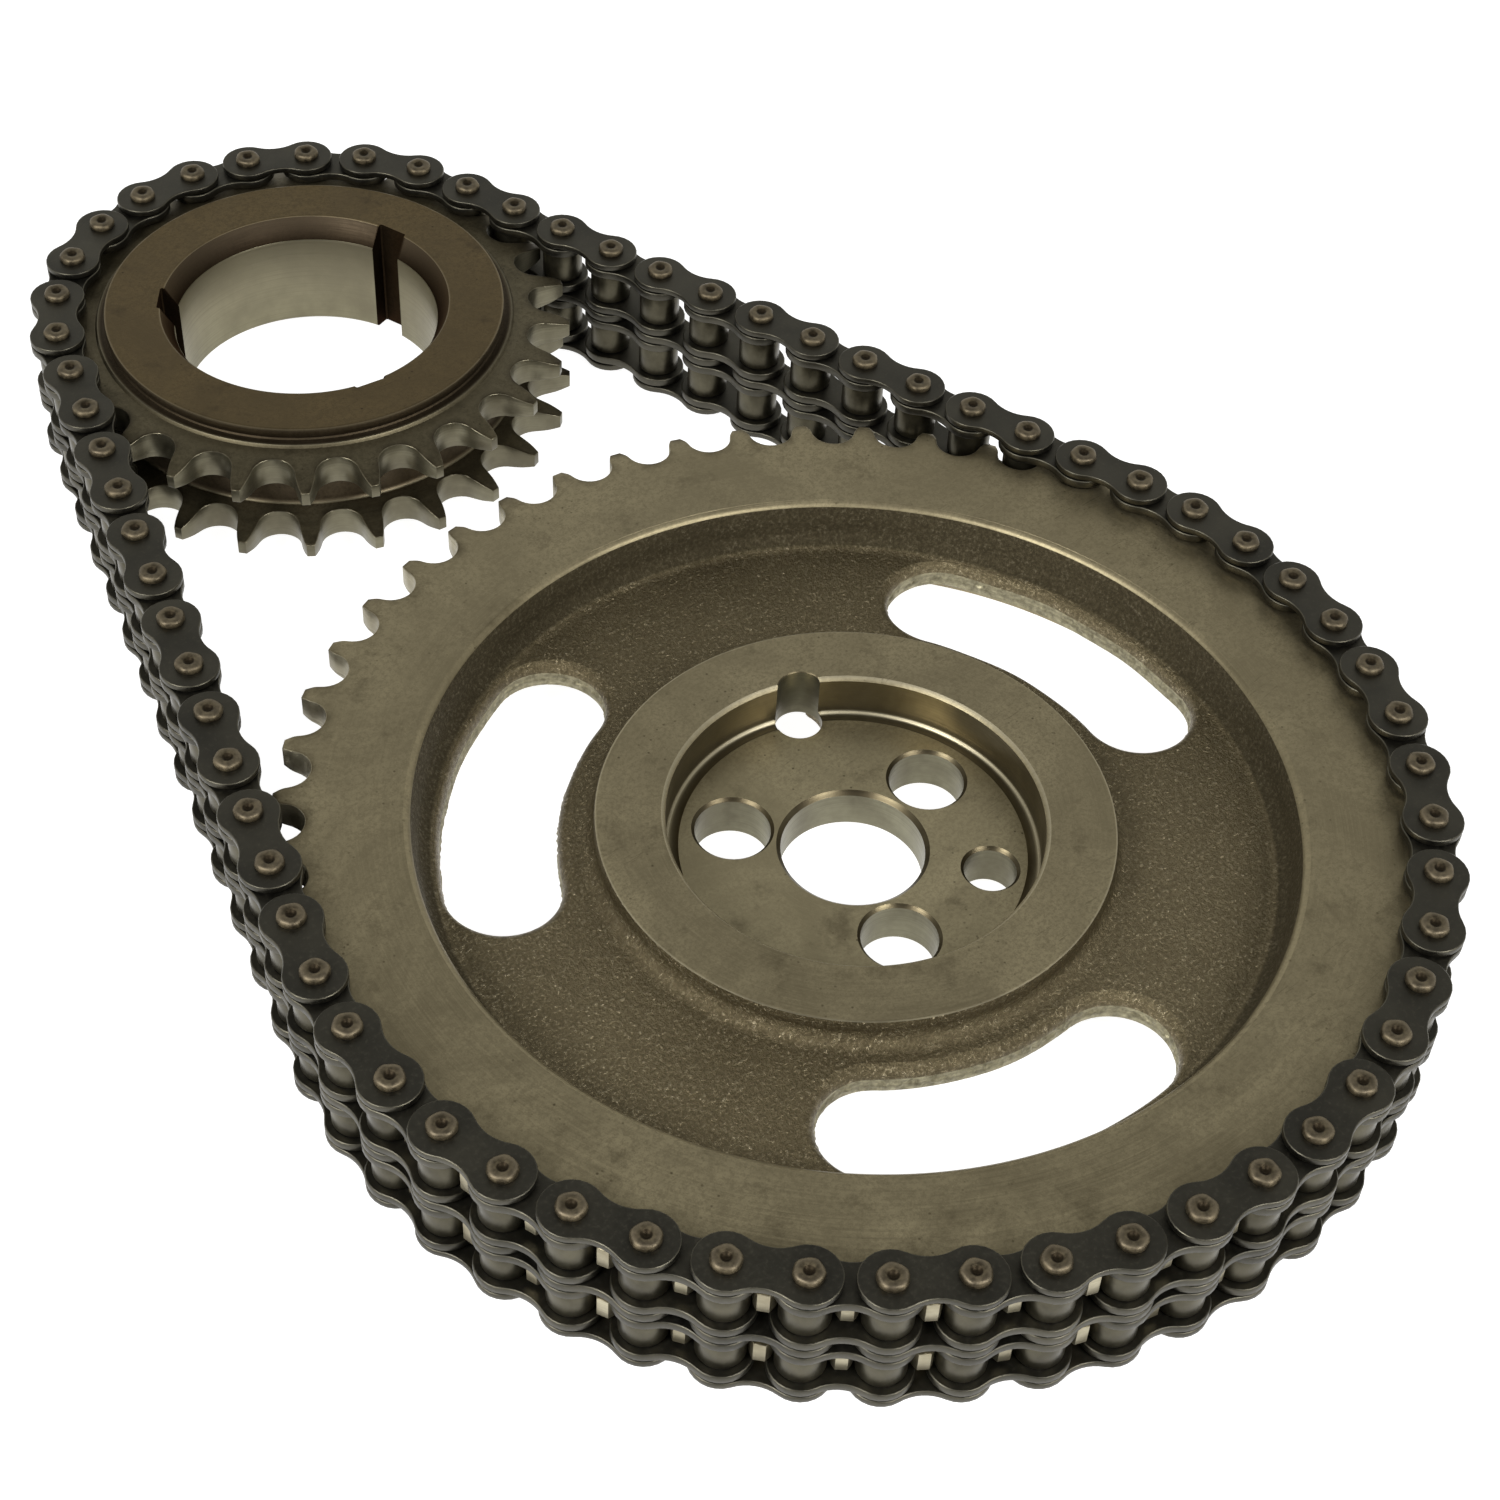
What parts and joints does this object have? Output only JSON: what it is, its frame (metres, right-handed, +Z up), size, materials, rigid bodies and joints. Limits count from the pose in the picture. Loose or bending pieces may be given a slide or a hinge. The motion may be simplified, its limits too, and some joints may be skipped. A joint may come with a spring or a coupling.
{
  "type": "duplex roller chain with sprockets",
  "caption": "Double-row roller chain looped round a large slotted cam sprocket and a small keyed crank sprocket, laid flat.",
  "frame": {"origin": "under the middle of the whole set, at the level of the lowest pin ends on which it lies", "axes": "+Y from the cam sprocket's centre to the crank sprocket's centre, the longest extent; +Z up, along both bores and all the pins; +X to the right run"},
  "size_m": [0.16, 0.252, 0.0232],
  "materials": {
    "cam_casting": "machined rim and hub, rough cast web, light oil film",
    "crank_steel": "brown heat-treated steel, ground bore",
    "outer_link_steel": "blued plates with bare riveted pin ends",
    "inner_link_steel": "blued plates with polished rollers"
  },
  "bodies": {
    "seated_chain": {"seated_link_01": "outer_link_steel", "seated_link_02": "outer_link_steel", "seated_link_03": "outer_link_steel", "seated_link_04": "outer_link_steel", "seated_link_05": "outer_link_steel", "seated_link_06": "outer_link_steel", "seated_link_07": "outer_link_steel", "seated_link_08": "outer_link_steel", "seated_link_09": "outer_link_steel", "seated_link_10": "outer_link_steel", "seated_link_11": "outer_link_steel", "seated_link_12": "outer_link_steel", "seated_link_13": "outer_link_steel", "seated_link_14": "outer_link_steel", "seated_link_15": "outer_link_steel", "seated_link_16": "outer_link_steel", "seated_link_17": "outer_link_steel", "seated_link_18": "outer_link_steel", "seated_link_19": "outer_link_steel", "seated_link_20": "outer_link_steel", "seated_link_21": "outer_link_steel", "seated_link_22": "outer_link_steel", "seated_link_23": "outer_link_steel", "seated_link_24": "outer_link_steel", "seated_link_25": "outer_link_steel", "seated_link_26": "outer_link_steel", "seated_link_27": "outer_link_steel"},
    "cam_sprocket": {"cam_sprocket": "cam_casting"},
    "crank_sprocket": {"crank_sprocket": "crank_steel"},
    "right_link_1": {"right_inner_link_1_upper": "inner_link_steel", "right_inner_link_1_lower": "inner_link_steel"},
    "right_link_2": {"right_outer_link_2": "outer_link_steel"},
    "right_link_3": {"right_inner_link_3_upper": "inner_link_steel", "right_inner_link_3_lower": "inner_link_steel"},
    "right_link_4": {"right_outer_link_4": "outer_link_steel"},
    "right_link_5": {"right_inner_link_5_upper": "inner_link_steel", "right_inner_link_5_lower": "inner_link_steel"},
    "right_link_6": {"right_outer_link_6": "outer_link_steel"},
    "right_link_7": {"right_inner_link_7_upper": "inner_link_steel", "right_inner_link_7_lower": "inner_link_steel"},
    "left_link_1": {"left_inner_link_1_upper": "inner_link_steel", "left_inner_link_1_lower": "inner_link_steel"},
    "left_link_2": {"left_outer_link_2": "outer_link_steel"},
    "left_link_3": {"left_inner_link_3_upper": "inner_link_steel", "left_inner_link_3_lower": "inner_link_steel"},
    "left_link_4": {"left_outer_link_4": "outer_link_steel"},
    "left_link_5": {"left_inner_link_5_upper": "inner_link_steel", "left_inner_link_5_lower": "inner_link_steel"},
    "left_link_6": {"left_outer_link_6": "outer_link_steel"},
    "left_link_7": {"left_inner_link_7_upper": "inner_link_steel", "left_inner_link_7_lower": "inner_link_steel"}
  },
  "joints": [
    {"name": "cam_spin", "type": "hinge", "parent": "seated_chain", "child": "cam_sprocket", "pos_m": [0, -0.04616, 0.0116], "axis": [0, 0, 1], "range_deg": [-172.8, 172.8], "deforming": ["seated_link_04", "seated_link_05", "seated_link_06", "seated_link_07", "seated_link_08", "seated_link_09", "seated_link_10", "seated_link_11", "seated_link_12", "seated_link_13", "seated_link_14", "seated_link_15", "seated_link_16", "seated_link_17", "seated_link_18", "seated_link_19", "seated_link_20", "seated_link_21"]},
    {"name": "crank_spin", "type": "hinge", "parent": "seated_chain", "child": "crank_sprocket", "pos_m": [0, 0.08401, 0.0116], "axis": [0, 0, 1], "range_deg": [-345.6, 345.6], "deforming": ["seated_link_01", "seated_link_02", "seated_link_03", "seated_link_23", "seated_link_24", "seated_link_25", "seated_link_26", "seated_link_27"]},
    {"name": "right_link_1_hinge", "type": "hinge", "parent": "seated_chain", "child": "right_link_1", "pos_m": [0.04548, 0.06505, 0.0116], "axis": [0, 0, 1], "range_deg": [-7, 7]},
    {"name": "right_link_2_hinge", "type": "hinge", "parent": "right_link_1", "child": "right_link_2", "pos_m": [0.04825, 0.05594, 0.0116], "axis": [0, 0, 1], "range_deg": [-2.4, 2.4]},
    {"name": "right_link_3_hinge", "type": "hinge", "parent": "right_link_2", "child": "right_link_3", "pos_m": [0.05101, 0.04683, 0.0116], "axis": [0, 0, 1], "range_deg": [-2.4, 2.4]},
    {"name": "right_link_4_hinge", "type": "hinge", "parent": "right_link_3", "child": "right_link_4", "pos_m": [0.05378, 0.03771, 0.0116], "axis": [0, 0, 1], "range_deg": [-2.4, 2.4]},
    {"name": "right_link_5_hinge", "type": "hinge", "parent": "right_link_4", "child": "right_link_5", "pos_m": [0.05655, 0.0286, 0.0116], "axis": [0, 0, 1], "range_deg": [-2.4, 2.4]},
    {"name": "right_link_6_hinge", "type": "hinge", "parent": "right_link_5", "child": "right_link_6", "pos_m": [0.05932, 0.01949, 0.0116], "axis": [0, 0, 1], "range_deg": [-2.4, 2.4]},
    {"name": "right_link_7_hinge", "type": "hinge", "parent": "right_link_6", "child": "right_link_7", "pos_m": [0.06209, 0.01037, 0.0116], "axis": [0, 0, 1], "range_deg": [-2.4, 2.4]},
    {"name": "left_link_1_hinge", "type": "hinge", "parent": "seated_chain", "child": "left_link_1", "pos_m": [-0.06559, -0.00113, 0.0116], "axis": [0, 0, 1], "range_deg": [-7, 7]},
    {"name": "left_link_2_hinge", "type": "hinge", "parent": "left_link_1", "child": "left_link_2", "pos_m": [-0.06282, 0.00798, 0.0116], "axis": [0, 0, 1], "range_deg": [-2.4, 2.4]},
    {"name": "left_link_3_hinge", "type": "hinge", "parent": "left_link_2", "child": "left_link_3", "pos_m": [-0.06005, 0.01709, 0.0116], "axis": [0, 0, 1], "range_deg": [-2.4, 2.4]},
    {"name": "left_link_4_hinge", "type": "hinge", "parent": "left_link_3", "child": "left_link_4", "pos_m": [-0.05728, 0.02621, 0.0116], "axis": [0, 0, 1], "range_deg": [-2.4, 2.4]},
    {"name": "left_link_5_hinge", "type": "hinge", "parent": "left_link_4", "child": "left_link_5", "pos_m": [-0.05451, 0.03532, 0.0116], "axis": [0, 0, 1], "range_deg": [-2.4, 2.4]},
    {"name": "left_link_6_hinge", "type": "hinge", "parent": "left_link_5", "child": "left_link_6", "pos_m": [-0.05174, 0.04443, 0.0116], "axis": [0, 0, 1], "range_deg": [-2.4, 2.4]},
    {"name": "left_link_7_hinge", "type": "hinge", "parent": "left_link_6", "child": "left_link_7", "pos_m": [-0.04897, 0.05355, 0.0116], "axis": [0, 0, 1], "range_deg": [-2.4, 2.4]}
  ],
  "couplings": [
    {"joint": "crank_spin", "follows": "cam_spin", "ratio": 2},
    {"joint": "right_link_2_hinge", "follows": "right_link_1_hinge", "ratio": -0.33333},
    {"joint": "right_link_3_hinge", "follows": "right_link_1_hinge", "ratio": -0.33333},
    {"joint": "right_link_4_hinge", "follows": "right_link_1_hinge", "ratio": -0.33333},
    {"joint": "right_link_5_hinge", "follows": "right_link_1_hinge", "ratio": -0.33333},
    {"joint": "right_link_6_hinge", "follows": "right_link_1_hinge", "ratio": -0.33333},
    {"joint": "right_link_7_hinge", "follows": "right_link_1_hinge", "ratio": -0.33333},
    {"joint": "left_link_2_hinge", "follows": "left_link_1_hinge", "ratio": -0.33333},
    {"joint": "left_link_3_hinge", "follows": "left_link_1_hinge", "ratio": -0.33333},
    {"joint": "left_link_4_hinge", "follows": "left_link_1_hinge", "ratio": -0.33333},
    {"joint": "left_link_5_hinge", "follows": "left_link_1_hinge", "ratio": -0.33333},
    {"joint": "left_link_6_hinge", "follows": "left_link_1_hinge", "ratio": -0.33333},
    {"joint": "left_link_7_hinge", "follows": "left_link_1_hinge", "ratio": -0.33333}
  ]
}
